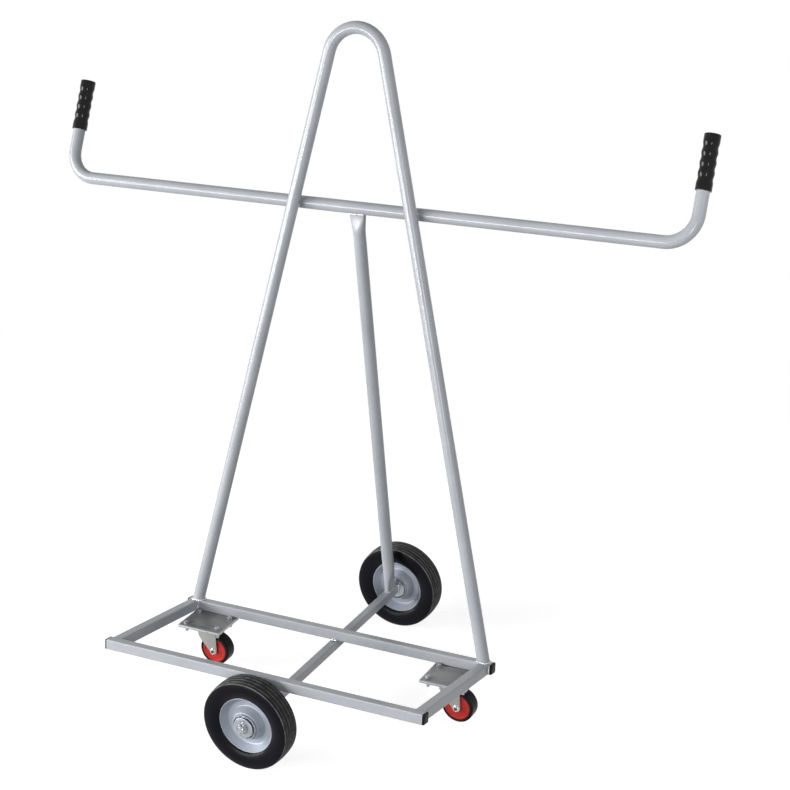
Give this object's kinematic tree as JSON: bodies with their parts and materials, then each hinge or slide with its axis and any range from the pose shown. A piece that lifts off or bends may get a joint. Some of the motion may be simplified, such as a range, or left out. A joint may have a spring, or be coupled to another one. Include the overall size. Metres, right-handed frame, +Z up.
{
  "type": "drywall cart",
  "caption": "Panel cart with a leaning rectangular base, an A-shaped tube mast and a wide handle bar, carried on an in-line pair of large middle wheels with swivel casters at the rear corners.",
  "frame": {"origin": "on the floor below the middle of the axle, which is the middle of the cart's box", "axes": "+Z up, +X along the base to the right, +Y from the front wheel to the rear wheel"},
  "size_m": [1.6736, 0.8286, 1.581],
  "materials": {
    "paint": "silver-grey satin paint",
    "mount_plate": "silver-grey paint",
    "cap": "satin black",
    "grip": "satin black",
    "zinc": "zinc plated",
    "tyre": "matt black rubber",
    "rim": "silver paint",
    "bearing": "ground",
    "caster_core": "red, semi-gloss",
    "tread": "matt black"
  },
  "bodies": {
    "frame": {"front_rail": "paint", "rear_rail": "paint", "left_cross_tube": "paint", "right_cross_tube": "paint", "rail_end_caps": "cap", "axle_tube": "paint", "front_riser": "paint", "mast_hoop": "paint", "handle_bar": "paint", "rear_strut": "paint", "left_grip": "grip", "right_grip": "grip", "left_caster_mount": "mount_plate", "right_caster_mount": "mount_plate", "caster_studs": "zinc", "caster_stud_washers": "zinc", "caster_stud_nuts": "zinc", "front_spindle": "zinc", "rear_spindle": "zinc", "hub_inner_washers": "zinc", "hub_outer_washers": "zinc", "castle_nuts": "zinc", "split_pins": "zinc", "front_bearing_inner_rings": "bearing", "rear_bearing_inner_rings": "bearing", "left_caster_plate": "zinc", "right_caster_plate": "zinc", "left_kingpin": "zinc", "right_kingpin": "zinc"},
    "front_wheel": {"front_tyre": "tyre", "front_rim_outer": "rim", "front_rim_inner": "rim", "front_hub": "rim", "front_bearing_outer_rings": "bearing", "front_bearing_balls": "bearing"},
    "rear_wheel": {"rear_tyre": "tyre", "rear_rim_outer": "rim", "rear_rim_inner": "rim", "rear_hub": "rim", "rear_bearing_outer_rings": "bearing", "rear_bearing_balls": "bearing"},
    "left_caster": {"left_swivel_balls": "bearing", "left_fork": "zinc", "left_caster_axle": "zinc", "left_caster_axle_nut": "zinc", "left_caster_bush": "zinc"},
    "left_caster_wheel": {"left_caster_core": "caster_core", "left_caster_tread": "tread"},
    "right_caster": {"right_swivel_balls": "bearing", "right_fork": "zinc", "right_caster_axle": "zinc", "right_caster_axle_nut": "zinc", "right_caster_bush": "zinc"},
    "right_caster_wheel": {"right_caster_core": "caster_core", "right_caster_tread": "tread"}
  },
  "joints": [
    {"name": "front_wheel_spin", "type": "hinge", "parent": "frame", "child": "front_wheel", "pos_m": [0, -0.3715, 0.11], "axis": [0, 1, 0], "continuous": true},
    {"name": "rear_wheel_spin", "type": "hinge", "parent": "frame", "child": "rear_wheel", "pos_m": [0, 0.3715, 0.11], "axis": [0, 1, 0], "continuous": true},
    {"name": "left_caster_swivel", "type": "hinge", "parent": "frame", "child": "left_caster", "pos_m": [-0.3355, -0.0195, 0.1], "axis": [0, 0, 1], "continuous": true},
    {"name": "left_caster_wheel_spin", "type": "hinge", "parent": "left_caster", "child": "left_caster_wheel", "pos_m": [-0.3135, -0.0195, 0.052], "axis": [0, 1, 0], "continuous": true},
    {"name": "right_caster_swivel", "type": "hinge", "parent": "frame", "child": "right_caster", "pos_m": [0.3355, -0.0195, 0.1], "axis": [0, 0, 1], "continuous": true},
    {"name": "right_caster_wheel_spin", "type": "hinge", "parent": "right_caster", "child": "right_caster_wheel", "pos_m": [0.3575, -0.0195, 0.052], "axis": [0, 1, 0], "continuous": true}
  ]
}
